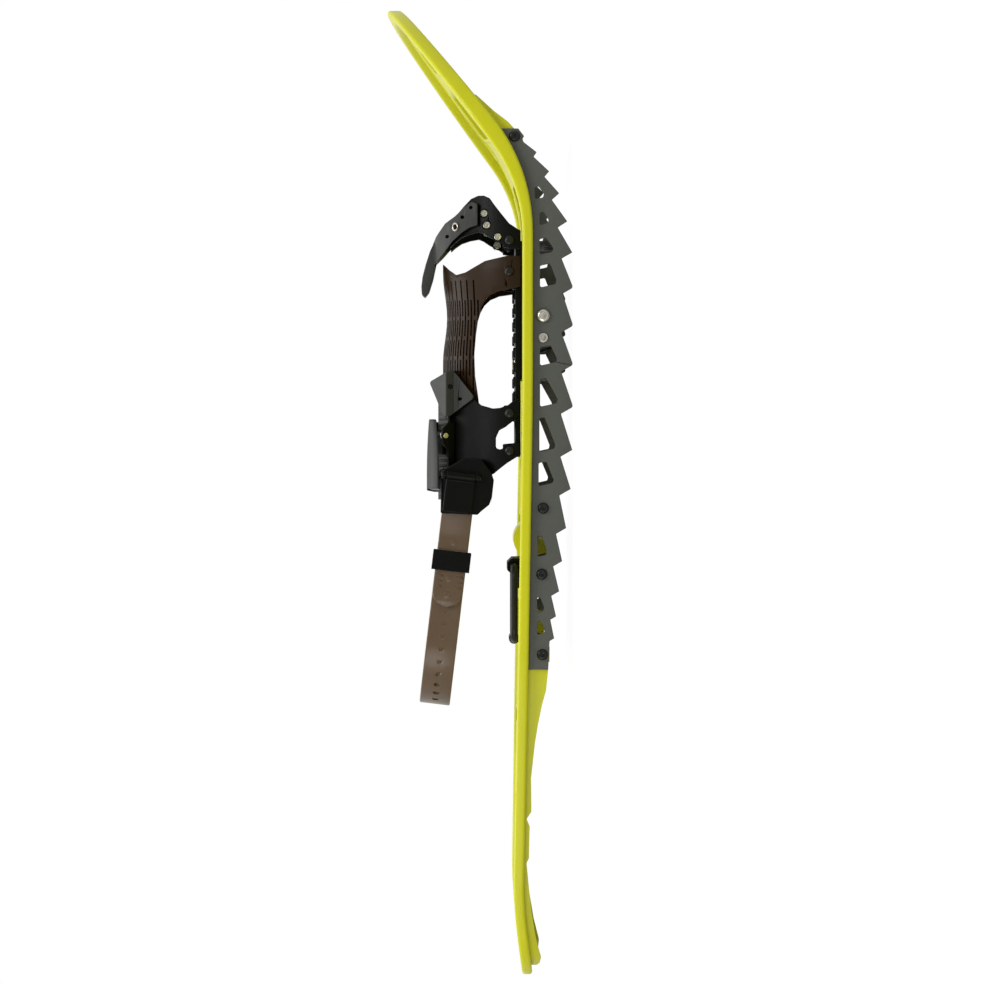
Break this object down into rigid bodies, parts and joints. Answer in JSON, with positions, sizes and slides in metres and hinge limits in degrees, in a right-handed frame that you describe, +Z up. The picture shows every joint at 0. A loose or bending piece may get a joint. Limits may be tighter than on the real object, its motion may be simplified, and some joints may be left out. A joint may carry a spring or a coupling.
{
  "type": "snowshoe",
  "caption": "Moulded snowshoe with an upturned nose, toothed side rails, a pivoting strap binding with crampon, and a folding heel lifter.",
  "frame": {"origin": "on the ground under the middle of the shoe's length and width, at the tips of the rail teeth", "axes": "+X towards the tip, +Y towards the wearer's left, +Z up"},
  "size_m": [0.635, 0.216, 0.1203],
  "materials": {
    "deck_plastic": "moulded, glossy",
    "rail_steel": "dark powder coat",
    "black_bolt": "black oxide",
    "bright_steel": "bright plated",
    "crampon_steel": "dark coating",
    "black_plastic": "moulded, satin",
    "black_strap": "flexible, satin",
    "smoke_strap": "translucent smoky brown",
    "lever_plastic": "dark grey, satin",
    "lifter_wire": "black coated wire"
  },
  "bodies": {
    "shoe": {"deck": "deck_plastic", "rail_left": "rail_steel", "rail_right": "rail_steel", "rail_bolts": "black_bolt", "rail_nuts": "bright_steel", "pivot_brackets": "rail_steel", "pivot_axle": "bright_steel", "axle_screws": "bright_steel", "anchor_rivets": "bright_steel", "lifter_clips": "black_plastic", "lifter_screws": "bright_steel"},
    "binding": {"crampon": "crampon_steel", "binding_base": "black_plastic", "base_rivets": "bright_steel", "wing_rivets": "black_bolt", "instep_panel": "smoke_strap", "toe_wing_left": "black_strap", "toe_wing_right": "black_strap", "toe_pins": "bright_steel", "toe_strap": "black_strap", "rear_wing_left": "black_strap", "rear_wing_right": "black_strap", "ratchet_base": "lever_plastic", "ratchet_pins": "bright_steel", "pawl_springs": "bright_steel", "strap_sleeve": "black_plastic", "ladder_strap": "smoke_strap", "heel_strap": "smoke_strap", "buckle_body": "black_plastic", "buckle_pins": "black_bolt", "heel_anchor": "black_plastic"},
    "ratchet_lever": {"ratchet_lever": "lever_plastic"},
    "ratchet_pawl": {"ratchet_pawl": "black_plastic"},
    "buckle_lid": {"buckle_lid": "black_plastic"},
    "strap_keeper": {"strap_keeper": "black_strap"},
    "heel_lifter": {"heel_lifter": "lifter_wire", "lifter_grip": "black_plastic"}
  },
  "joints": [
    {"name": "binding_pivot", "type": "hinge", "parent": "shoe", "child": "binding", "pos_m": [0.1122, 0, 0.0191], "axis": [0, 1, 0], "range_deg": [0, 60]},
    {"name": "lifter_flip", "type": "hinge", "parent": "shoe", "child": "heel_lifter", "pos_m": [-0.05, 0, 0.0369], "axis": [0, 1, 0], "range_deg": [0, 108]},
    {"name": "ratchet_lift", "type": "hinge", "parent": "binding", "child": "ratchet_lever", "pos_m": [0.003, -0.03125, 0.08713], "axis": [0, -0.866, -0.5], "range_deg": [0, 70]},
    {"name": "pawl_rock", "type": "hinge", "parent": "binding", "child": "ratchet_pawl", "pos_m": [0.036, -0.03095, 0.08661], "axis": [0, 0.866, 0.5], "range_deg": [0, 12], "stiffness_Nm_per_rad": 0.02, "springref_deg": -8.59},
    {"name": "lid_swing", "type": "hinge", "parent": "binding", "child": "buckle_lid", "pos_m": [0.00953, -0.062, 0.07146], "axis": [0.1184, 0, 0.993], "range_deg": [0, 95]},
    {"name": "keeper_slide", "type": "slide", "parent": "binding", "child": "strap_keeper", "axis": [0.993, 0, -0.1184], "range_m": [-0.02, 0.008]}
  ]
}
